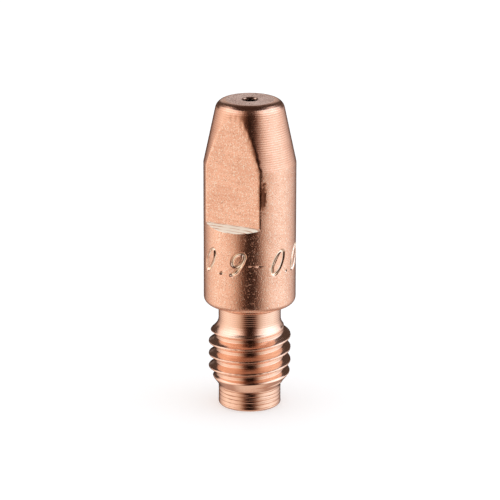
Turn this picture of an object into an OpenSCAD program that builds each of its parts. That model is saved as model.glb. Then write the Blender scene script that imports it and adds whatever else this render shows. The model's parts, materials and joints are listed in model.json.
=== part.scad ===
// Screw-in contact tip of a wire-feed welding torch, turned from one copper bar.
// The axis is +Z, the rear face that seats in the tip holder lies at z = 0
// and the nose, where the wire leaves, is at the top. The front is -Y.

/* [Body] */
// Length from the rear face to the nose face
tip_length = 30; // [27:0.5:40]
// Diameter of the body
body_d = 8.75; // [8.4:0.05:12]
// How far the underside of the rear shoulder rises on its way from the neck to the body
shoulder_rise = 0.6; // [0.1:0.05:1.2]
// Radius of the rounded edge between the body and that underside
shoulder_round = 0.6; // [0.1:0.1:1]

/* [Nose] */
// Height of the tapered nose
nose_h = 6; // [3:0.5:9]
// Diameter at which the taper would reach the nose face
nose_d = 6.2; // [5:0.1:7.5]
// Radius of the rounded edge round the nose face
nose_round = 1; // [0.3:0.1:1.5]

/* [Thread] */
// Nominal diameter of the metric thread
thread_d = 8; // [7.5:0.1:8.4]
// Pitch of the thread
thread_pitch = 1.25; // [1:0.05:1.25]
// Length of the thread with both of its chamfers
thread_h = 6.45; // [4:0.05:8]
// Height of the chamfer that leads into the thread from below
thread_lead_h = 1.3; // [0.4:0.1:1.8]
// Height of the chamfer that runs out of the thread at the neck
thread_runout_h = 1.45; // [0.4:0.05:1.8]
// How far the crests lie inside the nominal diameter, on the diameter
crest_allowance = 0.15; // [0.05:0.05:0.25]
// Width of the flat on the crests
crest_flat = 0.12; // [0.1:0.01:0.25]
// Angle round the axis at which the groove leaves the pilot, in degrees
thread_start = 220; // [0:10:350]

/* [Pilot and neck] */
// Diameter of the plain pilot at the rear end
pilot_d = 5.95; // [5.2:0.05:6.2]
// Height of the pilot below the thread
pilot_h = 2; // [1:0.1:4]
// Radius of the rounded rear edge of the pilot
pilot_round = 0.2; // [0.05:0.05:0.5]
// Diameter of the relief neck between the thread and the shoulder
neck_d = 5.95; // [5.2:0.05:6.2]
// Height of the neck
neck_h = 1.35; // [1.2:0.05:3]

/* [Wire bore] */
// Diameter of the through bore
bore_d = 1.2; // [0.8:0.1:2]
// Diameter of the small chamfer at the mouth in the nose
mouth_d = 1.5; // [1.4:0.1:2.4]
// Depth of that chamfer
mouth_h = 0.15; // [0.05:0.05:0.4]
// Diameter of the funnel that takes the wire in at the rear face
funnel_d = 3; // [2.4:0.1:4]
// Depth of the funnel
funnel_h = 1.6; // [0.8:0.1:3]

/* [Spanner flats] */
// Distance across the two milled flats
flat_across = 6.6; // [6.3:0.1:7.6]
// Length of the flats, from the nose face down to their ledge
flat_h = 11.45; // [8:0.05:16]
// How far the ledge falls from the flat to the outside of the body
ledge_drop = 0.35; // [0:0.05:0.6]
// Angle from the front to the first flat, towards -X, in degrees
flat_turn = 29; // [0:1:60]

/* [Hidden] */
// Full angle between the two flanks of a metric thread, in degrees
flank_angle = 60;
// Depth of a metric thread on the diameter, as a share of its pitch
root_depth_share = 1.2269;
// Straight steps in one turn of the groove
steps = 36;
// How far each cut runs past the surface that it opens
overrun = 0.05;
copper = [0.80, 0.53, 0.40];
$fn = 96;

body_r = body_d / 2;
nose_r = nose_d / 2;
pilot_r = pilot_d / 2;
neck_r = neck_d / 2;
bore_r = bore_d / 2;
crest_r = (thread_d - crest_allowance) / 2;
root_r = (thread_d - root_depth_share * thread_pitch) / 2;
thread_top = pilot_h + thread_h;
shoulder_z = thread_top + neck_h;
nose_z = tip_length - nose_h;

// The nose arc touches the taper and the face, so its centre follows the taper's angle.
taper_angle = atan2(body_r - nose_r, nose_h);
corner_reach = nose_round * tan((90 - taper_angle) / 2);
nose_arc = [nose_r - corner_reach, tip_length - nose_round];
taper_touch = nose_arc + nose_round * [cos(taper_angle), sin(taper_angle)];
pilot_arc = [pilot_r - pilot_round, pilot_round];

// The shoulder arc touches the conical underside and the body.
underside_angle = atan2(shoulder_rise, body_r - neck_r);
underside_reach = shoulder_round * tan((90 - underside_angle) / 2);
shoulder_arc = [body_r - shoulder_round, shoulder_z + shoulder_rise + underside_reach];
underside_touch = shoulder_arc + shoulder_round * [sin(underside_angle), -cos(underside_angle)];

// Half of the section, from the axis to the outside, with the thread as a plain chamfered collar.
module tip_outline() {
    polygon([
        [0, 0],
        [pilot_arc.x, 0],
        [pilot_r, pilot_arc.y],
        [pilot_r, pilot_h],
        [crest_r, pilot_h + thread_lead_h],
        [crest_r, thread_top - thread_runout_h],
        [neck_r, thread_top],
        [neck_r, shoulder_z],
        underside_touch,
        [body_r, shoulder_arc.y],
        [body_r, nose_z],
        taper_touch,
        [nose_arc.x, tip_length],
        [0, tip_length]
    ]);
    translate(pilot_arc) circle(r = pilot_round);
    translate(shoulder_arc) circle(r = shoulder_round);
    translate(nose_arc) circle(r = nose_round);
}

// Half the width of the thread groove at radius r: the flats of the crests stay between its turns.
function groove_half_width(r) =
    (thread_pitch - crest_flat) / 2 - (crest_r - r) * tan(flank_angle / 2);

// The helical groove as one swept solid. It starts and ends in the air beside the pilot and
// the neck, so that the chamfers of the collar give the thread its run-in and run-out.
module thread_groove() {
    outer_r = crest_r + overrun;
    from_z = pilot_h - groove_half_width(outer_r);
    to_z = thread_top + groove_half_width(outer_r);
    count = ceil((to_z - from_z) / thread_pitch * steps);
    section = [
        [root_r, -groove_half_width(root_r)],
        [outer_r, -groove_half_width(outer_r)],
        [outer_r, groove_half_width(outer_r)],
        [root_r, groove_half_width(root_r)]
    ];
    corners = len(section);
    turn_in = (from_z - pilot_h) / thread_pitch * 360;
    points = [
        for (i = [0 : count], corner = section)
            let (angle = thread_start + turn_in + i / steps * 360)
            [
                corner.x * cos(angle),
                corner.x * sin(angle),
                from_z + i / steps * thread_pitch + corner.y
            ]
    ];
    sides = [
        for (i = [0 : count - 1], j = [0 : corners - 1])
            let (
                a = i * corners + j,
                b = i * corners + (j + 1) % corners,
                c = b + corners,
                d = a + corners
            )
            each [[a, b, c], [a, c, d]]
    ];
    first = [for (j = [corners - 1 : -1 : 0]) j];
    last = [for (j = [0 : corners - 1]) count * corners + j];
    polyhedron(points = points, faces = concat(sides, [first], [last]));
}

// The cutter for one flat: it leaves a ledge that falls outwards, as the end mill does.
module flat_cut() {
    inner = flat_across / 2;
    outer = body_r + overrun;
    ledge_z = tip_length - flat_h;
    outer_drop = ledge_drop * (outer - inner) / (body_r - inner);
    rotate([90, 0, 0])
        linear_extrude(height = body_d, center = true)
            polygon([
                [inner, ledge_z],
                [outer, ledge_z - outer_drop],
                [outer, tip_length + overrun],
                [inner, tip_length + overrun]
            ]);
}

module spanner_flats() {
    for (side = [0, 180])
        rotate([0, 0, -90 - flat_turn + side]) flat_cut();
}

// Straight bore for the wire, with a small chamfer in the nose and a funnel at the rear.
module wire_bore() {
    rotate_extrude()
        polygon([
            [0, -overrun],
            [funnel_d / 2 + overrun * (funnel_d / 2 - bore_r) / funnel_h, -overrun],
            [bore_r, funnel_h],
            [bore_r, tip_length - mouth_h],
            [mouth_d / 2 + overrun * (mouth_d / 2 - bore_r) / mouth_h, tip_length + overrun],
            [0, tip_length + overrun]
        ]);
}

module contact_tip() {
    color(copper)
        difference() {
            rotate_extrude() tip_outline();
            spanner_flats();
            thread_groove();
            wire_bore();
        }
}

contact_tip();
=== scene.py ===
"""Dresses the welding contact tip: its turned, milled, stamped and tumbled copper surface and a plain stage.
"""
import json
import math
from typing import NamedTuple

import bpy
import numpy as np
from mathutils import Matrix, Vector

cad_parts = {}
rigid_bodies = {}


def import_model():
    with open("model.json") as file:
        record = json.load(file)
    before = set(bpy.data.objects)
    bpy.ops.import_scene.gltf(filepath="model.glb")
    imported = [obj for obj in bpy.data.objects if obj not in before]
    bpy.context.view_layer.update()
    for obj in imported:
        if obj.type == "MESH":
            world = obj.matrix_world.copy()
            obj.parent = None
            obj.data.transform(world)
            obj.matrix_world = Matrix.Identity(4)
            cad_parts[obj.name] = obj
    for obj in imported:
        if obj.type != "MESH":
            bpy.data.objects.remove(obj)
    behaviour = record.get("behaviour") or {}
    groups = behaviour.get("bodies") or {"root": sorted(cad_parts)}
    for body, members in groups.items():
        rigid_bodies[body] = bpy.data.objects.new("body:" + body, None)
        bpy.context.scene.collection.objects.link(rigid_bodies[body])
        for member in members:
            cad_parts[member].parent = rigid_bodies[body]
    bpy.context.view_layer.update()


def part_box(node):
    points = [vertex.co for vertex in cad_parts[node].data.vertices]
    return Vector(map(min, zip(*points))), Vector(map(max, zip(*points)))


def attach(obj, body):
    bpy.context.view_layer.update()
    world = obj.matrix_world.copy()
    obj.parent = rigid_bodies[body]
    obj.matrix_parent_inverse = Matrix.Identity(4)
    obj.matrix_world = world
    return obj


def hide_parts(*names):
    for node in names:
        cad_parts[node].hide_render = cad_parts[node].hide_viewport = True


bl_info = {
    "name": "Welding contact tip",
    "version": (1, 0, 0),
    "blender": (4, 5, 0),
    "location": "View3D > Sidebar > Contact tip",
    "description": "Makes the finished surface of a screw-in welding contact tip and a stage for it",
    "category": "Object",
}

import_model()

MM = 0.001
NODE = "contact_tip"
PIECE = "contact_tip_turned"
TIP_FOOT, TIP_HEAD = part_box(NODE)
FULL_TURN = 2 * np.pi

FINISHES = (
    "tumbled", "turned", "milled", "ledge", "nose_face", "polished", "threaded", "bored", "stamped", "pilot")
TUMBLED, TURNED, MILLED, LEDGE, NOSE_FACE, POLISHED, THREADED, BORED, STAMPED, PILOT = range(len(FINISHES))


def length(label, text, value, **limits):
    """A length that a user can change, in metres."""
    return bpy.props.FloatProperty(
        name=label, description=text, default=value, min=0.0, unit="LENGTH", precision=5, **limits)


def turn(label, text, degrees):
    """An angle that a user can change, kept in radians."""
    return bpy.props.FloatProperty(
        name=label, description=text, default=math.radians(degrees), subtype="ANGLE")


def share(label, text, value):
    """A factor from 0 to 1."""
    return bpy.props.FloatProperty(
        name=label, description=text, default=value, min=0.0, max=1.0, subtype="FACTOR")


def colour(label, text, value, most=1.0):
    """A linear colour."""
    return bpy.props.FloatVectorProperty(
        name=label, description=text, default=value, size=3, min=0.0, max=most, subtype="COLOR")


def whole(label, text, value, least=1):
    """A count."""
    return bpy.props.IntProperty(name=label, description=text, default=value, min=least)


class BodySizes(bpy.types.PropertyGroup):
    """Sizes of the turned bar: body, nose, shoulder, neck, pilot and bore."""

    height: length("Length", "From the rear face to the nose face", TIP_HEAD.z - TIP_FOOT.z)
    body_diameter: length("Body diameter", "Diameter of the round body", TIP_HEAD.y - TIP_FOOT.y)
    nose_height: length("Nose height", "Height of the tapered nose", 6 * MM)
    nose_diameter: length("Nose diameter", "Where the taper would reach the nose face", 6.2 * MM)
    nose_round: length("Nose edge", "Radius of the edge round the nose face", 1 * MM)
    shoulder_rise: length("Shoulder rise", "How far the underside rises to the body", 0.6 * MM)
    shoulder_round: length("Shoulder edge", "Radius between the underside and the body", 0.6 * MM)
    pilot_diameter: length("Pilot diameter", "Diameter of the plain rear end", 5.95 * MM)
    pilot_height: length("Pilot height", "Height of the plain rear end", 2 * MM)
    pilot_round: length("Pilot edge", "Radius of the rear edge", 0.2 * MM)
    neck_diameter: length("Neck diameter", "Diameter of the relief neck", 5.95 * MM)
    neck_height: length("Neck height", "Height of the relief neck", 1.76 * MM)
    bore_diameter: length("Bore diameter", "Diameter of the hole for the wire", 1.2 * MM)
    mouth_diameter: length("Mouth diameter", "Diameter of the chamfer in the nose face", 1.5 * MM)
    mouth_height: length("Mouth depth", "Depth of that chamfer", 0.15 * MM)
    funnel_diameter: length("Funnel diameter", "Diameter of the funnel in the rear face", 3 * MM)
    funnel_height: length("Funnel depth", "Depth of that funnel", 1.6 * MM)


class ThreadSizes(bpy.types.PropertyGroup):
    """Sizes of the metric thread."""

    nominal: length("Nominal diameter", "Nominal diameter of the thread", 8 * MM)
    pitch: length("Pitch", "Rise of the thread in one turn", 1.25 * MM)
    height: length("Height", "Height of the thread with both chamfers", 6.04 * MM)
    lead: length("Lead-in", "Height of the chamfer at the pilot", 1.3 * MM)
    runout: length("Run-out", "Height of the chamfer at the neck", 0.9 * MM)
    crest_allowance: length("Crest allowance", "How far the crests lie inside, on the diameter", 0.15 * MM)
    crest_flat: length("Crest flat", "Width of the flat on the crests", 0.12 * MM)
    corner: length("Worn corner", "Width over which crest and root corners are rounded", 0.05 * MM)
    fillet: length("Fillet", "Width over which the run-out rises from the neck", 0.6 * MM)
    start: turn("Start", "Angle from the front at which the groove leaves the pilot", -50)


class FlatSizes(bpy.types.PropertyGroup):
    """Sizes of the two milled spanner flats."""

    across: length("Across flats", "Distance between the two flats", 6.6 * MM)
    height: length("Flat length", "From the nose face down to the ledge", 11.45 * MM)
    drop: length("Ledge drop", "How far the ledge falls to the outside", 0.35 * MM)
    angle: turn("Turn", "Angle of the first flat from the front, towards +X", -29)
    burr: length("Burr", "How far the ledge is drawn up at the end where the cutter left", 0.09 * MM)
    dip: length("Dip", "How far the ledge's foot is lower at that end", 0.06 * MM)
    crisp: length("Crisp edge", "Rounding of the flats' edges where they are sharpest", 0.09 * MM)
    upper: length("Upper edge", "Rounding of each flat's right edge on the taper", 0.26 * MM)
    worn: length("Worn edge", "Rounding of that edge where it was struck", 0.2 * MM)


class StampSizes(bpy.types.PropertyGroup):
    """The plain numbers that are stamped round the body."""

    numbers: bpy.props.StringProperty(
        name="Numbers", description="Digits, full stops and dashes, from the left", default="0.9-0.035")
    foot: length("Foot", "Height of the foot of the numbers above the rear face", 14.0 * MM)
    height: length("Height", "Height of a digit", 2.2 * MM)
    width: length("Width", "Width of a digit", 1.05 * MM)
    slant: turn("Slant", "How far the digits lean to the right", 23)
    stroke: length("Stroke", "Width of the stamped line", 0.34 * MM)
    depth: length("Depth", "Depth of the stamped line", 0.16 * MM)
    faint: length("Faint dash", "How much narrower a dash is on each side, as its stamp hardly bit", 0.12 * MM)


class WearSizes(bpy.types.PropertyGroup):
    """Marks of turning and tumbling that are part of the surface."""

    feed: length("Feed", "Distance between the turning rings on the nose", 0.21 * MM)
    feed_depth: length("Ring depth", "Half the depth of those rings", 0.004 * MM)
    neck_feed: length("Neck feed", "Distance between the rings on neck and pilot", 0.199 * MM)
    neck_depth: length("Neck ring depth", "Half the depth of the rings on the neck", 0.009 * MM)
    pilot_depth: length("Pilot ring depth", "Half the depth of the rings on the pilot", 0.014 * MM)
    dent_depth: length("Dent depth", "Depth of the dents beside the flat's edge", 0.03 * MM)
    stain_turn: turn("Stain turn", "Angle from the front of the stain beside the flat's edge", 16)
    stain_foot: length("Stain height", "Height of the middle of that stain", 21.6 * MM)
    stain_length: length("Stain length", "Half the stain's length along the axis", 1.45 * MM)
    stain_width: length("Stain width", "Half the stain's width", 0.36 * MM)
    seed: whole("Seed", "Start of the random waves", 7)


def smooth_step(value, start, end):
    """0 up to start and 1 from end, with the cubic 3t^2 - 2t^3 between them."""
    t = np.clip((value - start) / (end - start), 0, 1)
    return t * t * (3 - 2 * t)


def smooth_least(a, b, width):
    """The smaller of a and b, less a parabola's cap where they differ by less than width."""
    near = np.clip(1 - np.abs(a - b) / width, 0, 1)
    return np.minimum(a, b) - near * near * width / 4


def smooth_most(a, b, width):
    """The larger of a and b, plus a parabola's cap where they differ by less than width."""
    return -smooth_least(-a, -b, width)


def waves(angle, height, radius, reach, seed, count=24):
    """An uneven field that closes round the axis: the sum of count cosines of wavelength reach
    in random directions on the unrolled surface, scaled to about -1 to 1."""
    chance = np.random.default_rng(seed)
    lean = chance.uniform(0, np.pi, count)
    shift = chance.uniform(0, FULL_TURN, count)
    around = np.round(FULL_TURN / reach * np.cos(lean) * radius)
    along = FULL_TURN / reach * np.sin(lean)
    total = np.zeros(np.broadcast(angle, height).shape)
    for n, m, start in zip(around, along, shift):
        total += np.cos(n * angle + m * height + start)
    return total * math.sqrt(1 / count)


def arc_points(centre, radius, start, end, count):
    """Count points on a circle in the section, as radii and heights, from angle start to end."""
    t = np.linspace(start, end, count)
    return centre[0] + radius * np.cos(t), centre[1] + radius * np.sin(t)


class Ring(NamedTuple):
    """A closed row of vertices round the axis: their numbers and their rising angles."""

    ids: np.ndarray
    angle: np.ndarray


class Patch(NamedTuple):
    """Part of the skin between two rings, with the finish of each triangle."""

    points: np.ndarray
    triangles: np.ndarray
    finish: np.ndarray
    first: Ring
    last: Ring


def cylinder_points(angle, radius, height):
    """Points at an angle from the front towards +X, a radius and a height."""
    x = radius * np.sin(angle)
    y = -radius * np.cos(angle)
    return np.stack(np.broadcast_arrays(x, y, height), axis=-1).reshape(-1, 3)


def grid_triangles(ids, right):
    """Two triangles for each cell between rows of vertex numbers and their right neighbours."""
    low_left, low_right = ids[:-1].ravel(), right[:-1].ravel()
    top_left, top_right = ids[1:].ravel(), right[1:].ravel()
    first = np.stack([low_left, low_right, top_right], axis=1)
    second = np.stack([low_left, top_right, top_left], axis=1)
    return np.stack([first, second], axis=1).reshape(-1, 3)


def grid_patch(angle, radius, height, finish):
    """A patch of rows and columns. Finish is one number or one for each cell."""
    angle, radius, height = np.broadcast_arrays(angle, radius, height)
    rows, columns = angle.shape
    ids = np.arange(rows * columns).reshape(rows, columns)
    triangles = grid_triangles(ids, np.roll(ids, -1, axis=1))
    cells = np.broadcast_to(finish, (rows - 1, columns)).ravel()
    return Patch(
        cylinder_points(angle, radius, height), triangles, np.repeat(cells, 2),
        Ring(ids[0], angle[0]), Ring(ids[-1], angle[-1]))


def zip_rings(low, high):
    """Triangles between two rings with different counts. Walking round both at once, each step
    along one ring makes a triangle with the vertex last reached on the other."""
    low_angle = np.append(low.angle, low.angle[0] + FULL_TURN)
    high_angle = np.append(high.angle, high.angle[0] + FULL_TURN)
    low_ids = np.append(low.ids, low.ids[0])
    high_ids = np.append(high.ids, high.ids[0])
    above = np.searchsorted(high_angle, low_angle[1:], side="left") - 1
    below = np.searchsorted(low_angle, high_angle[1:], side="right") - 1
    up = np.stack([low_ids[:-1], low_ids[1:], high_ids[above]], axis=1)
    down = np.stack([high_ids[1:], high_ids[:-1], low_ids[below]], axis=1)
    return np.concatenate([up, down])


def join_patches(patches, seam_finish):
    """One closed skin: each patch's last ring is zipped to the next one's first, and the last
    patch to the first. Seam_finish holds the finish of each of those strips."""
    moved = []
    count = 0
    for patch in patches:
        first = Ring(patch.first.ids + count, patch.first.angle)
        last = Ring(patch.last.ids + count, patch.last.angle)
        moved.append(Patch(patch.points, patch.triangles + count, patch.finish, first, last))
        count += len(patch.points)
    triangles = [patch.triangles for patch in moved]
    finish = [patch.finish for patch in moved]
    for i, patch in enumerate(moved):
        strip = zip_rings(patch.last, moved[(i + 1) % len(moved)].first)
        triangles.append(strip)
        finish.append(np.full(len(strip), seam_finish[i]))
    return np.concatenate([p.points for p in moved]), np.concatenate(triangles), np.concatenate(finish)


class Outline:
    """Heights and radii that more than one patch works from, in metres."""

    def __init__(self, body, thread, flat):
        self.body_r = body.body_diameter / 2
        self.neck_r = body.neck_diameter / 2
        self.pilot_r = body.pilot_diameter / 2
        self.bore_r = body.bore_diameter / 2
        self.crest_r = (thread.nominal - thread.crest_allowance) / 2
        self.root_r = (thread.nominal - ROOT_DEPTH_SHARE * thread.pitch) / 2
        self.thread_foot = body.pilot_height
        self.thread_head = body.pilot_height + thread.height
        self.shoulder = self.thread_head + body.neck_height
        self.taper_foot = body.height - body.nose_height
        self.ledge = body.height - flat.height
        self.flat_r = flat.across / 2
        self.taper = math.atan2(self.body_r - body.nose_diameter / 2, body.nose_height)
        reach = body.nose_round * math.tan((math.pi / 2 - self.taper) / 2)
        self.nose_arc = (body.nose_diameter / 2 - reach, body.height - body.nose_round)
        self.underside = math.atan2(body.shoulder_rise, self.body_r - self.neck_r)
        reach = body.shoulder_round * math.tan((math.pi / 2 - self.underside) / 2)
        self.shoulder_arc = (
            self.body_r - body.shoulder_round, self.shoulder + body.shoulder_rise + reach)

    def blank(self, height):
        """Radius of the turned bar above the shoulder: the body, then the taper."""
        return self.body_r - np.maximum(height - self.taper_foot, 0) * math.tan(self.taper)


ROOT_DEPTH_SHARE = 1.2269
FLANK = math.radians(30)
COLUMNS = 180
EVEN = np.arange(COLUMNS) * FULL_TURN / COLUMNS
THREAD_OVERLAP = 0.05 * MM
ROOT_PHASES = (0, 0.07, 0.13, 0.165, 0.2, 0.33, 0.46)
CREST_PHASES = (0.52, 0.55, 0.58)


def rear_patch(body, line, wear):
    """Funnel, rear face, rounded rear edge and pilot, from the bore outwards and up."""
    funnel_r = np.linspace(line.bore_r, body.funnel_diameter / 2, 6)
    funnel_z = np.linspace(body.funnel_height, 0, 6)
    face_r = np.linspace(body.funnel_diameter / 2, line.pilot_r - body.pilot_round, 6)[1:-1]
    edge_r, edge_z = arc_points(
        (line.pilot_r - body.pilot_round, body.pilot_round), body.pilot_round, -math.pi / 2, 0, 7)
    wall_z = np.arange(body.pilot_round, line.thread_foot - THREAD_OVERLAP, wear.neck_feed / 5)[1:]
    radius = np.concatenate([funnel_r, face_r, edge_r, np.full(len(wall_z), line.pilot_r)])
    height = np.concatenate([funnel_z, np.zeros(len(face_r)), edge_z, wall_z])
    smooth_rows = len(radius) - len(wall_z)
    radius, height = radius[:, None] + 0 * EVEN, height[:, None] + 0 * EVEN
    angle = EVEN[None, :] + 0 * radius
    wall = smooth_step(height, body.pilot_round, 3 * body.pilot_round)
    wall[:smooth_rows] = 0
    uneven = waves(angle, height, line.pilot_r, 2 * MM, wear.seed)
    rings = np.cos(FULL_TURN * height / wear.neck_feed + angle + uneven)
    rings = rings + np.cos(FULL_TURN * height / (1.7 * wear.neck_feed) - angle + 2 * uneven)
    radius = radius - wall * wear.pilot_depth * (1 + rings / 2)
    finish = np.full(len(radius) - 1, PILOT)
    finish[:smooth_rows] = POLISHED
    # The funnel takes the bore's painted shade.
    finish[:len(funnel_r) - 1] = BORED
    return grid_patch(angle, radius, height, finish[:, None])


def runout_radius(height, thread, line):
    """Radius of the chamfer that leads down to the neck, as a straight slope below thread_head."""
    return line.neck_r + (line.thread_head - height) * (line.crest_r - line.neck_r) / thread.runout


def thread_radius(angle, height, body, thread, line, wear):
    """Radius of the threaded collar: flanks of 30 degrees on both sides of the groove between
    root and crest, inside the chamfers that lead up from the pilot and down to the neck."""
    turns = (height - line.thread_foot) / thread.pitch - (angle - thread.start) / FULL_TURN
    from_root = thread.pitch * np.abs(turns - np.round(turns))
    crest_edge = (thread.pitch - thread.crest_flat) / 2
    flank = line.crest_r - (crest_edge - from_root) / math.tan(FLANK)
    rough = waves(angle, height, line.crest_r, 0.5 * MM, wear.seed + 1)
    crest = line.crest_r - 0.012 * MM * (1 + rough)
    shape = smooth_least(smooth_most(flank, line.root_r, thread.corner), crest, thread.corner)
    lead = line.pilot_r + (height - line.thread_foot) * (line.crest_r - line.pilot_r) / thread.lead
    lead = smooth_most(lead, line.pilot_r, thread.corner)
    runout = smooth_most(runout_radius(height, thread, line), line.neck_r, thread.fillet)
    collar = np.minimum(lead, runout)
    return np.minimum(smooth_least(shape, collar, thread.corner), line.crest_r)


def thread_patch(body, thread, line, wear):
    """The thread as rows that climb with the helix. A row keeps its place on the groove's
    section, so after a full turn it meets the row one pitch higher. Rows are cut off at a ring
    just below the thread and at one just above it."""
    foot = line.thread_foot - THREAD_OVERLAP
    head = line.thread_head + THREAD_OVERLAP
    half = np.array([p * MM for p in ROOT_PHASES + CREST_PHASES])
    phases = np.unique(np.concatenate([half, thread.pitch - half[1:], [thread.pitch / 2]]))
    per_turn = len(phases)
    turns = math.ceil((head - foot) / thread.pitch) + 2
    first = line.thread_foot - thread.start / FULL_TURN * thread.pitch
    first -= math.ceil((first - foot) / thread.pitch + 1) * thread.pitch
    start = (first + thread.pitch * np.arange(turns)[:, None] + phases).ravel()
    height = start[:, None] + thread.pitch * EVEN / FULL_TURN
    rows = len(start)
    least_step = 0.012 * MM
    below = height <= foot + least_step
    above = height >= head - least_step
    inside = ~below & ~above
    columns = np.broadcast_to(np.arange(COLUMNS), height.shape)
    ids = np.where(below, columns, columns + COLUMNS)
    ids[inside] = 2 * COLUMNS + np.arange(inside.sum())
    after = np.minimum(np.arange(rows) + per_turn, rows - 1)
    right = np.concatenate([ids[:, 1:], ids[after, :1]], axis=1)
    triangles = grid_triangles(ids, right)
    a, b, c = triangles.T
    triangles = triangles[(a != b) & (b != c) & (c != a)]
    angle = np.concatenate([EVEN, EVEN, np.broadcast_to(EVEN, height.shape)[inside]])
    height = np.concatenate([np.full(COLUMNS, foot), np.full(COLUMNS, head), height[inside]])
    radius = thread_radius(angle, height, body, thread, line, wear)
    low = Ring(np.arange(COLUMNS), EVEN)
    high = Ring(np.arange(COLUMNS) + COLUMNS, EVEN)
    return Patch(cylinder_points(angle, radius, height), triangles, np.full(len(triangles), THREADED), low, high)


def neck_patch(body, thread, stamp, line, wear):
    """Neck with its fine rings, conical underside, rounded shoulder and lower body."""
    neck_z = np.arange(line.thread_head + 2 * THREAD_OVERLAP, line.shoulder, wear.neck_feed / 5)
    out = np.linspace(0, 1, 7)[1:]
    touch = line.underside - math.pi / 2
    edge_r, edge_z = arc_points(line.shoulder_arc, body.shoulder_round, touch, 0, 9)
    cone_r = line.neck_r + out * (edge_r[0] - line.neck_r)
    cone_z = line.shoulder + out * (edge_z[0] - line.shoulder)
    body_z = np.linspace(edge_z[-1], stamp_rows(stamp)[0] - 2 * STAMP_STEP, 12)[1:]
    radius = np.concatenate(
        [np.full(len(neck_z), line.neck_r), cone_r, edge_r[1:], np.full(len(body_z), line.body_r)])
    height = np.concatenate([neck_z, cone_z, edge_z[1:], body_z])
    finish = np.full(len(radius) - 1, TUMBLED)
    finish[:len(neck_z)] = POLISHED
    radius, height = radius[:, None] + 0 * EVEN, height[:, None] + 0 * EVEN
    radius = smooth_most(radius, runout_radius(height, thread, line), thread.fillet)
    fade = smooth_step(line.shoulder - height, 0, wear.neck_feed)
    fade = fade * smooth_step(height - line.thread_head, 2 * THREAD_OVERLAP, 2 * THREAD_OVERLAP + wear.neck_feed)
    uneven = waves(EVEN[None, :] + 0 * height, height, line.neck_r, 3 * MM, wear.seed + 2)
    rings = np.cos(FULL_TURN * height / wear.neck_feed + 0.4 * uneven)
    radius = radius - fade * wear.neck_depth * (1 + rings)
    return grid_patch(EVEN[None, :] + 0 * radius, radius, height, finish[:, None])


STAMP_STEP = 0.05 * MM
STAMP_START, STAMP_END = math.radians(-70), math.radians(142)
STAMP_FINE, STAMP_COARSE = math.radians(0.66), math.radians(2.6)
CHARACTER_ANGLES = (-58, -32, -16.7, 10.4, 37.6, 57.7, 72, 99, 126)


def arc_stroke(centre, radii, start, end, count=22):
    """Points of an elliptical arc in a unit box, angles in degrees."""
    t = np.radians(np.linspace(start, end, count))
    return np.stack([centre[0] + radii[0] * np.cos(t), centre[1] + radii[1] * np.sin(t)], axis=1)


def strokes_of(character):
    """The centre lines of a character in a box one unit wide and one unit high."""
    if character == "0":
        return [arc_stroke((0.5, 0.5), (0.5, 0.5), 0, 360, 40)]
    if character == "9":
        tail = np.concatenate([[(1, 0.7)], arc_stroke((0.3, 0.7), (0.7, 0.7), -4, -78)])
        return [arc_stroke((0.5, 0.7), (0.5, 0.3), 0, 360, 32), tail]
    if character == "3":
        return [arc_stroke((0.42, 0.75), (0.5, 0.25), 140, -90),
                arc_stroke((0.42, 0.26), (0.56, 0.26), 90, -145)]
    if character == "5":
        bowl = arc_stroke((0.4, 0.33), (0.58, 0.33), 118, -145)
        return [np.concatenate([[(0.98, 1), (0.16, 1), (0.1, 0.6)], bowl])]
    if character == ".":
        return [np.array([(0.5, 0.01), (0.5, 0.035)])]
    if character == "-":
        return [np.array([(-0.2, 0.44), (1.2, 0.44)])]
    raise ValueError(f"no strokes for the character {character!r}")


def stamp_rows(stamp):
    """Heights of the rows in the stamped band."""
    margin = 1.4 * stamp.stroke
    return np.arange(stamp.foot - margin, stamp.foot + stamp.height + margin, STAMP_STEP)


def distance_to_line(x, y, line):
    """Least distance from each point to a polyline, leg by leg."""
    least = np.full(x.shape, np.inf)
    for (ax, ay), (bx, by) in zip(line[:-1], line[1:]):
        dx, dy = bx - ax, by - ay
        t = np.clip(((x - ax) * dx + (y - ay) * dy) / (dx * dx + dy * dy), 0, 1)
        least = np.minimum(least, np.hypot(x - ax - t * dx, y - ay - t * dy))
    return least


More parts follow.
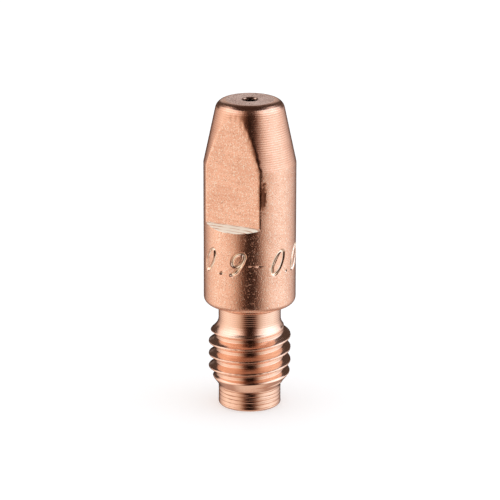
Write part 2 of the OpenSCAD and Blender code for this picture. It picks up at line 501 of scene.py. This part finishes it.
def stamp_patch(stamp, line, wear):
    """The stamped band: rows and columns fine enough for the strokes, pressed in along each
    stroke with a rounded groove, and lifted a little beside it."""
    fine = np.arange(STAMP_START, STAMP_END, STAMP_FINE)
    coarse = np.arange(STAMP_END, STAMP_START + FULL_TURN - STAMP_FINE, STAMP_COARSE)
    around = np.sort(np.concatenate([fine, coarse]) % FULL_TURN)
    rows = stamp_rows(stamp)
    angle, height = np.meshgrid(around, rows)
    away = np.full(angle.shape, np.inf)
    slope = math.tan(stamp.slant)
    for character, place in zip(stamp.numbers, CHARACTER_ANGLES):
        turned = (angle - math.radians(place) + np.pi) % FULL_TURN - np.pi
        across = turned * line.body_r
        near = np.abs(across) < 1.6 * MM
        for stroke in strokes_of(character):
            up = stroke[:, 1] * stamp.height
            right = (stroke[:, 0] - 0.5) * stamp.width + (up - stamp.height / 2) * slope
            points = np.stack([right, up + stamp.foot], axis=1)
            distance = distance_to_line(across[near], height[near], points)
            away[near] = np.minimum(away[near], distance + (stamp.faint if character == "-" else 0))
    uneven = waves(angle, height, line.body_r, 0.9 * MM, wear.seed + 3)
    half = stamp.stroke / 2 * (1 + 0.12 * uneven)
    pressed = 1 - smooth_step(away, 0.2 * half, 1.1 * half)
    lip = smooth_step(away, 0.9 * half, 1.5 * half) * (1 - smooth_step(away, 1.5 * half, 2.6 * half))
    radius = line.body_r - stamp.depth * (1 + 0.15 * uneven) * pressed - 0.004 * MM + 0.004 * MM * lip
    finish = np.where(pressed[:-1] > 0.3, STAMPED, TUMBLED)
    return grid_patch(angle, radius, height, finish)


FLAT_SPAN = math.radians(43)
QUARTER = math.pi / 2
LEAST_SPAN = math.radians(8)
LEAST_LEDGE = 0.04 * MM
CLUSTER = 0.7


def flat_offset(flat):
    """Each even column's angle from the nearer of the two flats."""
    return (EVEN - flat.angle + QUARTER) % math.pi - QUARTER


def columns_on_flat(half, flat):
    """Angles of the columns when the flats reach half to each side: an even column inside
    FLAT_SPAN is drawn to the flat, one outside to the round, and both crowd at the edge."""
    offset = flat_offset(flat)
    inner = np.abs(offset) / FLAT_SPAN
    outer = (np.abs(offset) - FLAT_SPAN) / (QUARTER - FLAT_SPAN)
    on_flat = half * ((1 - CLUSTER) * inner + CLUSTER * np.sin(QUARTER * np.clip(inner, 0, 1)))
    on_round = (1 - CLUSTER) * outer + CLUSTER * (1 - np.cos(QUARTER * np.clip(outer, 0, 1)))
    away = np.where(inner <= 1, on_flat, half + (QUARTER - half) * on_round)
    return EVEN - offset + np.sign(offset) * away


def head_patch(body, flat, stamp, line, wear):
    """Upper body, ledge, flats, taper, nose edge, nose face, mouth and bore in one run of rows."""
    start = stamp_rows(stamp)[-1] + 2 * STAMP_STEP
    blend = np.linspace(0, 1, 9)
    ledge = np.array([0, 0.03, 0.1, 0.25, 0.45, 0.65, 0.85, 0.95, 0.98, 1])
    above = np.array([0.015, 0.04, 0.1, 0.2]) * MM
    corner = np.array([-0.12, -0.06, -0.03, 0, 0.03, 0.06]) * MM
    body_rows = np.concatenate([
        line.ledge + above,
        np.arange(line.ledge + 0.4 * MM, line.taper_foot - 0.2 * MM, 0.22 * MM),
        line.taper_foot + corner])
    arc_r, arc_z = arc_points(line.nose_arc, body.nose_round, line.taper, math.pi / 2, 16)
    ring_rows = np.arange(line.taper_foot + 0.1 * MM, arc_z[0] - 0.02 * MM, wear.feed / 4)

    half_ledge = math.acos(line.flat_r / line.body_r)
    edge_columns = columns_on_flat(half_ledge, flat)
    from_flat = (edge_columns - flat.angle + QUARTER) % math.pi - QUARTER
    flat_reach = np.minimum(line.flat_r / np.cos(from_flat), line.body_r)
    depth = np.maximum(line.body_r * np.cos(from_flat) - line.flat_r, 0)
    along = np.clip(from_flat / half_ledge, -1, 1) / 2 + 0.5
    on_ledge = smooth_step(np.abs(from_flat), half_ledge + math.radians(6), half_ledge)
    lift = flat.burr * along * on_ledge
    ledge_foot = line.ledge - flat.drop * depth / (line.body_r - line.flat_r)
    ledge_foot = ledge_foot - LEAST_LEDGE - flat.dip * along * on_ledge
    drop = line.ledge + lift - ledge_foot

    low_z = start + blend[:, None] * (ledge_foot - 0.03 * MM - start)
    low_turn = EVEN + smooth_step(blend, 0, 0.8)[:, None] * (edge_columns - EVEN)
    low_r = np.full(low_z.shape, line.body_r)
    ledge_z = ledge_foot + ledge[:, None] * drop
    ledge_turn = np.broadcast_to(edge_columns, ledge_z.shape)
    ledge_r = line.body_r + ledge[:, None] * (flat_reach - line.body_r)

    high_z = np.concatenate([body_rows, ring_rows, arc_z])
    high_blank = np.concatenate([line.blank(body_rows), line.blank(ring_rows), arc_r])
    half = np.arccos(np.clip(line.flat_r / np.maximum(high_blank, line.flat_r), 0, 1))
    half = smooth_most(half, LEAST_SPAN, LEAST_SPAN)
    even_again = smooth_step(high_z, arc_z[0], arc_z[8])
    high_turn = np.array([
        columns_on_flat(span, flat) * (1 - back) + EVEN * back
        for span, back in zip(half, even_again)])
    high_z = high_z[:, None] + lift * smooth_step(high_z[:, None], line.ledge + 1.4 * MM, line.ledge)
    rings = np.cos(FULL_TURN * (high_z - line.taper_foot) / wear.feed - high_turn)
    ring_share = smooth_step(high_z, line.taper_foot, line.taper_foot + 1 * MM)
    ring_share = ring_share * (1 - smooth_step(high_z, arc_z[0] - 0.3 * MM, arc_z[3]))
    uneven = waves(high_turn, high_z, line.body_r, 2.5 * MM, wear.seed + 4)
    blank = high_blank[:, None] - wear.feed_depth * ring_share * (1 + rings) * (1 + 0.4 * uneven)
    off = (high_turn - flat.angle + QUARTER) % math.pi - QUARTER
    milled = line.flat_r / np.cos(off)
    from_ledge = high_z - line.ledge
    rough = waves(high_turn, high_z, line.body_r, 0.7 * MM, wear.seed + 5)
    right_edge = smooth_step(off, 0, 0.1)
    struck = smooth_step(from_ledge, 1.8 * MM, 2.2 * MM) * smooth_step(from_ledge, 4.5 * MM, 3.9 * MM)
    struck = struck * right_edge * np.clip(1 + 0.3 * rough, 0, 1)
    on_taper = smooth_step(from_ledge, 4.3 * MM, 5 * MM) * right_edge
    cut_depth = np.maximum(high_blank - line.flat_r, 0)[:, None]
    upper = np.minimum(flat.upper * (1 + 0.08 * rough), flat.crisp + 0.3 * cut_depth)
    rounding = flat.crisp * (1 + 0.3 * rough) + (flat.worn - flat.crisp) * struck
    rounding = rounding + (upper - flat.crisp) * on_taper
    high_r = smooth_least(blank, milled, rounding)
    from_edge = (np.abs(off) - half[:, None]) * line.body_r
    dents = np.exp(-((from_edge - 0.4 * MM) / (0.28 * MM)) ** 2)
    high_r = high_r - wear.dent_depth * dents * struck

    face_r = np.linspace(line.nose_arc[0], body.mouth_diameter / 2, 9)[1:]
    mouth_r = np.linspace(body.mouth_diameter / 2, line.bore_r, 7)[1:]
    mouth_z = np.linspace(body.height, body.height - body.mouth_height, 7)[1:]
    bore_z = np.array([0.02, 0.1, 0.4, 1.2, 4, 12, 20]) * MM
    bore_z = np.concatenate([body.height - body.mouth_height - bore_z, [body.funnel_height + 0.3 * MM]])
    top_r = np.concatenate([face_r, mouth_r, np.full(len(bore_z), line.bore_r)])
    top_z = np.concatenate([np.full(len(face_r), body.height), mouth_z, bore_z])
    top_turn = np.broadcast_to(EVEN, (len(top_r), COLUMNS))
    top_r, top_z = top_r[:, None] + 0 * EVEN, top_z[:, None] + 0 * EVEN

    angle = np.concatenate([low_turn, ledge_turn, high_turn, top_turn])
    radius = np.concatenate([low_r, ledge_r, high_r, top_r])
    height = np.concatenate([low_z, ledge_z, high_z, top_z])
    finish = head_finish(len(low_z), len(ledge_z), len(body_rows), len(ring_rows), len(arc_z), len(face_r),
                         len(mouth_r), len(bore_z), half, flat)
    return grid_patch(angle, radius, height, finish)


def head_finish(low, ledge, straight, rings, arc, face, mouth, bore, half, flat):
    """The finish of each cell of the head, row by row. A cell takes that of the row above it."""
    on_flat = np.abs(flat_offset(flat) + math.pi / COLUMNS) < FLAT_SPAN
    rows = [np.full((low, COLUMNS), TUMBLED), np.where(on_flat, LEDGE, TUMBLED)[None].repeat(ledge, axis=0)]
    rows.append(np.where(on_flat, MILLED, TUMBLED)[None].repeat(straight, axis=0))
    real = (half[straight:straight + rings] > 1.5 * LEAST_SPAN)[:, None]
    rows.append(np.where(on_flat[None] & real, MILLED, TURNED))
    rows.append(np.full((arc, COLUMNS), TURNED))
    rows.append(np.full((face, COLUMNS), NOSE_FACE))
    rows.append(np.full((mouth - mouth // 2, COLUMNS), POLISHED))
    # The inner half of the mouth takes the bore's painted shade.
    rows.append(np.full((mouth // 2, COLUMNS), BORED))
    rows.append(np.full((bore, COLUMNS), BORED))
    return np.concatenate(rows)[1:]


def tip_skin(scene):
    """The whole closed skin of the tip: points, triangles and the finish of each triangle."""
    body, thread, flat = scene.tip_body, scene.tip_thread, scene.tip_flat
    stamp, wear = scene.tip_stamp, scene.tip_wear
    line = Outline(body, thread, flat)
    patches = [
        rear_patch(body, line, wear),
        thread_patch(body, thread, line, wear),
        neck_patch(body, thread, stamp, line, wear),
        stamp_patch(stamp, line, wear),
        head_patch(body, flat, stamp, line, wear),
    ]
    # The strip from the bore down to the funnel takes the bore's painted shade.
    return join_patches(patches, [POLISHED, POLISHED, TUMBLED, TUMBLED, BORED])


def mesh_object(name, points, triangles, finish, materials):
    """A mesh at the origin from points in metres, with one material slot for each finish."""
    mesh = bpy.data.meshes.new(name)
    mesh.vertices.add(len(points))
    mesh.vertices.foreach_set("co", points.astype(np.float32).ravel())
    mesh.loops.add(len(triangles) * 3)
    mesh.loops.foreach_set("vertex_index", triangles.astype(np.int32).ravel())
    mesh.polygons.add(len(triangles))
    mesh.polygons.foreach_set("loop_start", np.arange(0, len(triangles) * 3, 3, dtype=np.int32))
    mesh.polygons.foreach_set("material_index", finish.astype(np.int32))
    mesh.polygons.foreach_set("use_smooth", np.ones(len(triangles), dtype=bool))
    for material in materials:
        mesh.materials.append(material)
    mesh.update(calc_edges=True)
    if mesh.validate():
        raise RuntimeError(f"the mesh of {name} had faults")
    piece = bpy.data.objects.new(name, mesh)
    bpy.context.collection.objects.link(piece)
    return piece


class TipLook(bpy.types.PropertyGroup):
    """Colours and roughness of the copper."""

    copper: colour("Copper", "Colour of the tumbled metal", (0.92, 0.56, 0.41))
    bright: colour("Bright copper", "Colour of the polished neck and pilot", (0.97, 0.67, 0.52))
    # Painted highlight: a pale cream that the ledge, the stamped lines and the highest grains take for the light
    # they catch.
    pale_highlight: colour("Pale highlight", "Colour of the ledge and of the stamped lines", (1.0, 0.9, 0.76))
    tarnish: colour("Tarnish", "Colour of the grains and hollows", (0.55, 0.22, 0.11))
    face: colour("Face", "Colour of the nose face", (0.86, 0.6, 0.52))
    # Painted shade: the near-black colour that bore, funnel and the inner half of the mouth take for the shade in
    # the deep hole.
    bore_shade: colour("Bore shade", "Colour of the bore", (0.04, 0.014, 0.007))
    stain: colour("Stain", "Colour of the stain beside the flat's edge", (0.09, 0.022, 0.008))
    tumbled: share("Tumbled roughness", "Roughness of the tumbled body", 0.24)
    turned: share("Turned roughness", "Roughness of the turned nose", 0.22)
    polished: share("Polished roughness", "Roughness of neck and pilot", 0.18)
    threaded: share("Thread roughness", "Roughness of the thread", 0.16)
    scatter: share("Scatter", "How matt the torn metal of the ledge is", 0.95)


class Nodes:
    """Adds nodes to a tree and links them, so that a material reads as a list of steps."""

    def __init__(self, tree):
        self.tree = tree

    def add(self, kind, inputs=None, **settings):
        """A node of that kind. Inputs maps a socket's name or number to a value or an output."""
        node = self.tree.nodes.new(kind)
        for name, value in settings.items():
            setattr(node, name, value)
        for name, value in (inputs or {}).items():
            if isinstance(value, bpy.types.NodeSocket):
                self.tree.links.new(value, node.inputs[name])
            else:
                node.inputs[name].default_value = value
        return node

    def math(self, operation, *values):
        """The output of a Math node."""
        return self.add("ShaderNodeMath", dict(enumerate(values)), operation=operation).outputs[0]

    def span(self, value, low, high, to_low=0.0, to_high=1.0, kind="SMOOTHSTEP"):
        """Value moved from the range low..high to to_low..to_high, and held at its ends."""
        inputs = {"Value": value, "From Min": low, "From Max": high, "To Min": to_low, "To Max": to_high}
        return self.add("ShaderNodeMapRange", inputs, interpolation_type=kind).outputs["Result"]

    def mix(self, factor, first, second, blend="MIX"):
        """Two colours blended by factor."""
        node = self.add("ShaderNodeMix", {"Factor": factor}, data_type="RGBA", blend_type=blend)
        for socket, value in ((node.inputs[6], first), (node.inputs[7], second)):
            if isinstance(value, bpy.types.NodeSocket):
                self.tree.links.new(value, socket)
            else:
                socket.default_value = value
        return node.outputs[2]


def opaque(rgb):
    """A colour with full alpha."""
    return (rgb[0], rgb[1], rgb[2], 1.0)


def grain_group():
    """Node group for tumbled metal. Its height rises and falls in grains of the given size, its
    specks are small pits, its gleam marks the highest grains and its drift changes slowly."""
    tree = bpy.data.node_groups.new("tumbled_grain", "ShaderNodeTree")
    face = tree.interface
    face.new_socket("Vector", in_out="INPUT", socket_type="NodeSocketVector")
    face.new_socket("Grains per metre", in_out="INPUT", socket_type="NodeSocketFloat")
    for name in ("Height", "Specks", "Gleam", "Drift"):
        face.new_socket(name, in_out="OUTPUT", socket_type="NodeSocketFloat")
    n = Nodes(tree)
    inside = n.add("NodeGroupInput")
    place, density = inside.outputs["Vector"], inside.outputs["Grains per metre"]
    fine = n.add("ShaderNodeTexNoise", {"Vector": place, "Scale": density, "Detail": 1.0, "Roughness": 0.5})
    pits = n.add("ShaderNodeTexVoronoi", {"Vector": place, "Scale": density})
    chance = n.add("ShaderNodeSeparateColor", {0: pits.outputs["Color"]}).outputs[0]
    slow = n.add("ShaderNodeTexNoise", {
        "Vector": place, "Scale": n.math("MULTIPLY", density, 0.08), "Detail": 3.0, "Roughness": 0.55})
    deep = n.math("MULTIPLY", n.span(pits.outputs["Distance"], 0.4, 0.12), n.span(chance, 0.3, 1.0))
    height = n.math("SUBTRACT", n.math("MULTIPLY", fine.outputs["Fac"], 0.8), deep)
    out = n.add("NodeGroupOutput")
    tree.links.new(height, out.inputs["Height"])
    tree.links.new(deep, out.inputs["Specks"])
    tree.links.new(n.span(fine.outputs["Fac"], 0.5, 0.68), out.inputs["Gleam"])
    tree.links.new(slow.outputs["Fac"], out.inputs["Drift"])
    return tree


def ring_group():
    """Node group for cut metal. Its height falls into a narrow valley once for each groove of
    the tool, bent a little and deeper in some places than in others."""
    tree = bpy.data.node_groups.new("tool_grooves", "ShaderNodeTree")
    face = tree.interface
    face.new_socket("Vector", in_out="INPUT", socket_type="NodeSocketVector")
    face.new_socket("Along", in_out="INPUT", socket_type="NodeSocketFloat")
    face.new_socket("Rings per metre", in_out="INPUT", socket_type="NodeSocketFloat")
    face.new_socket("Height", in_out="OUTPUT", socket_type="NodeSocketFloat")
    n = Nodes(tree)
    inside = n.add("NodeGroupInput")
    place, density = inside.outputs["Vector"], inside.outputs["Rings per metre"]
    along = inside.outputs["Along"]
    bent = n.add("ShaderNodeTexNoise", {"Vector": place, "Scale": 900.0, "Detail": 2.0}).outputs["Fac"]
    phase = n.math("MULTIPLY", n.math("MULTIPLY", along, density), math.pi)
    wave = n.math("ABSOLUTE", n.math("SINE", n.math("ADD", phase, n.math("MULTIPLY", bent, 1.5))))
    strength = n.span(bent, 0.3, 0.65, 0.5, 1.0)
    depth = n.math("MULTIPLY", n.math("SUBTRACT", 1.0, wave), strength)
    out = n.add("NodeGroupOutput")
    tree.links.new(n.math("SUBTRACT", 1.0, depth), out.inputs["Height"])
    return tree


def copper_material(name, look, groups, base, roughness, relief, grains, specks=0.3, tint=0.25,
                    rings=0.0, ring_relief=0.0, ring_tint=0.0, across=(0, 0, 1), matt=0.0, stain=None):
    """Copper with grain relief in metres, grains per metre, dark specks and slow colour drift.
    With rings per metre in the direction across, their height tints the metal and adds a relief
    of its own. Matt is the share of it that scatters light like a rough surface. Stain is the
    middle of a dark stain and half of its size in x, y and z."""
    material = bpy.data.materials.new(name)
    material.use_nodes = True
    tree = material.node_tree
    tree.nodes.clear()
    n = Nodes(tree)
    place = n.add("ShaderNodeTexCoord").outputs["Object"]
    grain = n.add("ShaderNodeGroup", node_tree=groups["grain"])
    tree.links.new(place, grain.inputs["Vector"])
    grain.inputs["Grains per metre"].default_value = grains
    warm = n.mix(n.span(grain.outputs["Drift"], 0.35, 0.7, 0.0, tint), opaque(base), opaque(look.tarnish))
    # Painted highlight: the highest grains (the gleam) are mixed towards the pale highlight colour.
    light = n.mix(n.math("MULTIPLY", grain.outputs["Gleam"], specks), warm, opaque(look.pale_highlight))
    tone = n.mix(n.math("MULTIPLY", grain.outputs["Specks"], specks), light, opaque(look.tarnish))
    if stain:
        middle, reach = stain
        aside = n.add("ShaderNodeVectorMath", {0: place, 1: middle}, operation="SUBTRACT").outputs[0]
        share_out = n.add("ShaderNodeVectorMath", {0: aside, 1: reach}, operation="DIVIDE").outputs[0]
        out_by = n.add("ShaderNodeVectorMath", {0: share_out}, operation="LENGTH").outputs["Value"]
        ragged = n.add("ShaderNodeTexNoise", {"Vector": place, "Scale": 3500.0, "Detail": 2.0}).outputs["Fac"]
        edge = n.math("ADD", out_by, n.math("MULTIPLY", ragged, 1.6))
        tone = n.mix(n.span(edge, 2.1, 1.6, 0.0, 0.6), tone, opaque(look.tarnish))
        tone = n.mix(n.span(edge, 1.8, 1.4, 0.0, 0.8), tone, opaque(look.stain))
    shine = n.span(grain.outputs["Drift"], 0.3, 0.7, roughness * 0.88, roughness * 1.15)
    bump = n.add("ShaderNodeBump", {"Height": grain.outputs["Height"], "Strength": 1.0, "Distance": relief})
    if rings:
        turned = n.add("ShaderNodeGroup", node_tree=groups["rings"])
        tree.links.new(place, turned.inputs["Vector"])
        along = n.add("ShaderNodeVectorMath", {0: place, 1: across}, operation="DOT_PRODUCT")
        tree.links.new(along.outputs["Value"], turned.inputs["Along"])
        turned.inputs["Rings per metre"].default_value = rings
        height = turned.outputs["Height"]
        tone = n.mix(n.span(height, 0.1, 0.8, ring_tint, 0.0), tone, opaque(look.tarnish))
        bump = n.add("ShaderNodeBump", {
            "Height": height, "Strength": 1.0, "Distance": ring_relief, "Normal": bump.outputs["Normal"]})
    metal = n.add("ShaderNodeBsdfPrincipled", {
        "Base Color": tone, "Metallic": 1.0 - matt, "Roughness": shine, "Normal": bump.outputs["Normal"]})
    out = n.add("ShaderNodeOutputMaterial")
    tree.links.new(metal.outputs["BSDF"], out.inputs["Surface"])
    return material


def tip_materials(look, wear, flat, body):
    """One material for each finish, in the order of FINISHES."""
    groups = {"grain": grain_group(), "rings": ring_group()}
    copper, bright, pale_highlight = look.copper, look.bright, look.pale_highlight
    face, dark = look.face, look.bore_shade
    um = 0.001 * MM
    fine = 1 / wear.feed
    off_flat = (math.sin(flat.angle), -math.cos(flat.angle), 0)
    stain_x = body.body_diameter / 2 * math.sin(wear.stain_turn)
    stain_y = -body.body_diameter / 2 * math.cos(wear.stain_turn)
    stain = ((stain_x, stain_y, wear.stain_foot), (wear.stain_width, wear.stain_width, wear.stain_length))
    return [
        copper_material("tumbled_copper", look, groups, copper, look.tumbled, 14 * um, 8000, 0.6, 0.15,
                        stain=stain),
        copper_material("turned_copper", look, groups, copper, look.turned, 5 * um, 9000, 0.3, 0.15,
                        fine, 9 * um, 0.4),
        copper_material("milled_copper", look, groups, copper, look.tumbled, 12 * um, 8000, 0.75, 0.15,
                        1300, 2 * um, 0.15),
        # The ledge is a painted highlight: pale highlight colour, scattered matt under the white diffuse world.
        copper_material("ledge_copper", look, groups, pale_highlight, look.turned, 5 * um, 9000, 0.1, 0.0,
                        2905, 6 * um, 0.85, off_flat, look.scatter),
        copper_material("nose_face_copper", look, groups, face, look.tumbled, 20 * um, 8000, 0.6),
        copper_material("polished_copper", look, groups, bright, look.polished, 2 * um, 9000, 0.1, 0.05),
        copper_material("threaded_copper", look, groups, bright, look.threaded, 3 * um, 9000, 0.2, 0.1,
                        6000, 2 * um, 0.2),
        # The bore, funnel and inner mouth take the painted shade colour.
        copper_material("bore_shade_copper", look, groups, dark, look.tumbled, 5 * um, 6000, 0.2),
        # The stamped lines take the pale highlight colour, a painted highlight on the groove walls.
        copper_material("stamped_copper", look, groups, pale_highlight, look.polished, 3 * um, 9000, 0.1, 0.0),
        copper_material("pilot_copper", look, groups, bright, look.polished, 2 * um, 9000, 0.1, 0.05,
                        2600, 9 * um, 0.75),
    ]


class StageSizes(bpy.types.PropertyGroup):
    """Camera, floor and the studio round the tip."""

    lens: bpy.props.FloatProperty(
        name="Lens", description="Focal length for a sensor 36 mm wide, in millimetres", default=212.6, min=1.0)
    aside: length("Aside", "How far the camera stands to the right of the axis", 0.00002)
    back: length("Back", "How far the camera stands in front of the axis", 0.26676)
    above: length("Above", "Height of the camera over the floor", 0.09932)
    tilt: turn("Tilt", "How far the camera looks down", 17.49)
    roll: turn("Roll", "How far the camera leans", 0.086)
    floor: colour("Floor", "Colour of the floor", (0.74, 0.74, 0.74))
    floor_size: length("Floor size", "Width and depth of the floor", 3.0)
    glow: share("Floor glow", "How much of the floor's white comes from the camera's own rays", 0.31)
    left: colour("Left softbox", "Colour of the light from the left", (0.98, 0.88, 0.8))
    right: colour("Right softbox", "Colour of the light from the right", (1.0, 1.0, 1.0))
    upper: colour("Upper light", "How much brighter the softboxes are above", (1.4, 1.55, 1.75), 10.0)
    rear: colour("Rear", "Colour of the studio behind the tip, above the table", (0.08, 0.055, 0.045))
    card: colour("Card", "Colour of the card right behind the tip", (0.68, 0.63, 0.61))
    ceiling: colour("Ceiling", "Colour of the ceiling", (0.04, 0.02, 0.014))
    table: colour("Table", "Colour of the table round the tip's foot", (0.52, 0.36, 0.3))
    under: colour("Under", "Colour of the table right under the tip", (0.78, 0.65, 0.57))


AROUND_STOPS = (
    (0, (0.01, 0.004, 0.002)),
    (10, (0.02, 0.008, 0.005)),
    (20, (0.13, 0.06, 0.04)),
    (30, (0.47, 0.35, 0.29)),
    (40, (0.78, 0.67, 0.6)),
    (55, (1.02, 0.94, 0.91)),
    (72, (1.12, 1.1, 1.1)),
    (95, (1.14, 1.14, 1.14)),
    (115, (0.96, 0.88, 0.86)),
    (130, (0.72, 0.64, 0.62)),
    (143, (0.5, 0.42, 0.4)),
    (150, (0.28, 0.22, 0.21)),
    (158, (0.1, 0.07, 0.06)),
    (170, (0.04, 0.025, 0.02)),
)


def studio_world(stage):
    """World that reflections see as a studio. Its brightness depends on the angle from the
    front: a dark strip there, a softbox at each side that is brighter further up, and less
    light behind. A dark ceiling, a pale card behind the tip and a grey table close it. The
    camera and the floor see plain white."""
    world = bpy.data.worlds.new("studio")
    world.use_nodes = True
    tree = world.node_tree
    tree.nodes.clear()
    n = Nodes(tree)
    way = n.add("ShaderNodeSeparateXYZ", {0: n.add("ShaderNodeTexCoord").outputs["Generated"]})
    x, y, z = way.outputs
    beside = n.math("ABSOLUTE", n.math("ADD", x, n.math("MULTIPLY", y, 0.03)))
    turned = n.math("ARCTAN2", beside, n.math("MULTIPLY", y, -1.0))
    around = n.math("DIVIDE", turned, math.pi)
    ramp = n.add("ShaderNodeValToRGB", {"Fac": around})
    stops = ramp.color_ramp.elements
    while len(stops) < len(AROUND_STOPS):
        stops.new(0.5)
    for stop, (degrees, tone) in zip(stops, AROUND_STOPS):
        stop.position = degrees / 180
        stop.color = opaque(tone)
    tint = n.mix(n.span(x, -0.1, 0.1), opaque(stage.left), opaque(stage.right))
    raised = n.math("ADD", z, n.span(x, -0.3, 0.3, -0.1, 0.1))
    studio = n.mix(1.0, ramp.outputs["Color"], tint, "MULTIPLY")
    boost = n.mix(n.span(raised, 0.0, 0.5), (1, 1, 1, 1), opaque(stage.upper))
    studio = n.mix(1.0, studio, boost, "MULTIPLY")
    rear = n.math("MULTIPLY", n.span(around, 0.68, 0.76), n.span(z, -0.05, 0.12))
    studio = n.mix(rear, studio, opaque(stage.rear))
    card = n.math("MULTIPLY", n.span(around, 0.9, 0.95), n.span(z, 0.5, 0.4))
    card = n.math("MULTIPLY", card, n.span(z, 0.05, 0.15))
    studio = n.mix(card, studio, opaque(stage.card))
    studio = n.mix(n.span(z, 0.74, 0.87), studio, opaque(stage.ceiling))
    studio = n.mix(n.span(z, -0.42, -0.8), studio, opaque(stage.table))
    studio = n.mix(n.span(z, -0.88, -0.97), studio, opaque(stage.under))
    path = n.add("ShaderNodeLightPath")
    plain = n.math("MAXIMUM", path.outputs["Is Camera Ray"], path.outputs["Is Diffuse Ray"])
    shine = n.add("ShaderNodeBackground", {"Color": n.mix(plain, studio, (1, 1, 1, 1)), "Strength": 1.0})
    out = n.add("ShaderNodeOutputWorld")
    tree.links.new(shine.outputs[0], out.inputs["Surface"])
    return world


def floor_material(stage):
    """Pale matt floor. Part of its white is added for the camera alone, so the shadow stays."""
    material = bpy.data.materials.new("pale_floor")
    material.use_nodes = True
    tree = material.node_tree
    tree.nodes.clear()
    n = Nodes(tree)
    seen = n.add("ShaderNodeLightPath").outputs["Is Camera Ray"]
    matt = n.add("ShaderNodeBsdfDiffuse", {"Color": opaque(stage.floor)})
    glow = n.add("ShaderNodeEmission", {"Color": (1, 1, 1, 1), "Strength": n.math("MULTIPLY", seen, stage.glow)})
    both = n.add("ShaderNodeAddShader", {0: matt.outputs[0], 1: glow.outputs[0]})
    out = n.add("ShaderNodeOutputMaterial")
    tree.links.new(both.outputs[0], out.inputs["Surface"])
    return material


def floor_object(stage):
    """A square floor at the height of the rear face."""
    half = stage.floor_size / 2
    mesh = bpy.data.meshes.new("floor")
    mesh.from_pydata([(-half, -half, 0), (half, -half, 0), (half, half, 0), (-half, half, 0)], [], [(0, 1, 2, 3)])
    mesh.materials.append(floor_material(stage))
    floor = bpy.data.objects.new("floor", mesh)
    floor.visible_glossy = False
    bpy.context.collection.objects.link(floor)
    return floor


def stage_camera(stage):
    """The camera at the photograph's place."""
    data = bpy.data.cameras.new("camera")
    data.sensor_width = 36
    data.lens = stage.lens
    data.clip_start = 0.01
    camera = bpy.data.objects.new("camera", data)
    camera.location = (stage.aside, -stage.back, stage.above)
    camera.rotation_mode = "ZYX"
    camera.rotation_euler = (math.pi / 2 - stage.tilt, 0, stage.roll)
    bpy.context.collection.objects.link(camera)
    return camera


class TIP_OT_make_tip(bpy.types.Operator):
    """Make the finished skin of the contact tip in place of the plain solid"""

    bl_idname = "contact_tip.make_tip"
    bl_label = "Make tip"

    def execute(self, context):
        scene = context.scene
        points, triangles, finish = tip_skin(scene)
        materials = tip_materials(scene.tip_look, scene.tip_wear, scene.tip_flat, scene.tip_body)
        piece = mesh_object(PIECE, points, triangles, finish, materials)
        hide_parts(NODE)
        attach(piece, "root")
        return {"FINISHED"}


class TIP_OT_make_stage(bpy.types.Operator):
    """Make the floor, the studio and the camera"""

    bl_idname = "contact_tip.make_stage"
    bl_label = "Make stage"

    def execute(self, context):
        stage = context.scene.tip_stage
        floor_object(stage)
        context.scene.world = studio_world(stage)
        context.scene.camera = stage_camera(stage)
        context.scene.view_settings.view_transform = "Standard"
        return {"FINISHED"}


class TIP_PT_panel(bpy.types.Panel):
    """Buttons for the tip and its stage"""

    bl_idname = "TIP_PT_panel"
    bl_label = "Contact tip"
    bl_space_type = "VIEW_3D"
    bl_region_type = "UI"
    bl_category = "Contact tip"

    def draw(self, context):
        for name in GROUPS:
            box = self.layout.box()
            box.label(text=name.replace("_", " "))
            group = getattr(context.scene, name)
            for key in group.__annotations__:
                box.prop(group, key)
        self.layout.operator(TIP_OT_make_tip.bl_idname)
        self.layout.operator(TIP_OT_make_stage.bl_idname)


GROUPS = {
    "tip_body": BodySizes,
    "tip_thread": ThreadSizes,
    "tip_flat": FlatSizes,
    "tip_stamp": StampSizes,
    "tip_wear": WearSizes,
    "tip_look": TipLook,
    "tip_stage": StageSizes,
}
CLASSES = (*GROUPS.values(), TIP_OT_make_tip, TIP_OT_make_stage, TIP_PT_panel)


def register():
    """Registers the classes and puts their groups on the scene."""
    for item in CLASSES:
        bpy.utils.register_class(item)
    for name, group in GROUPS.items():
        setattr(bpy.types.Scene, name, bpy.props.PointerProperty(type=group))


def unregister():
    """Undoes register."""
    for name in GROUPS:
        delattr(bpy.types.Scene, name)
    for item in reversed(CLASSES):
        bpy.utils.unregister_class(item)


def main():
    """Makes the tip and the stage."""
    register()
    bpy.ops.contact_tip.make_tip()
    bpy.ops.contact_tip.make_stage()


if __name__ == "__main__":
    main()
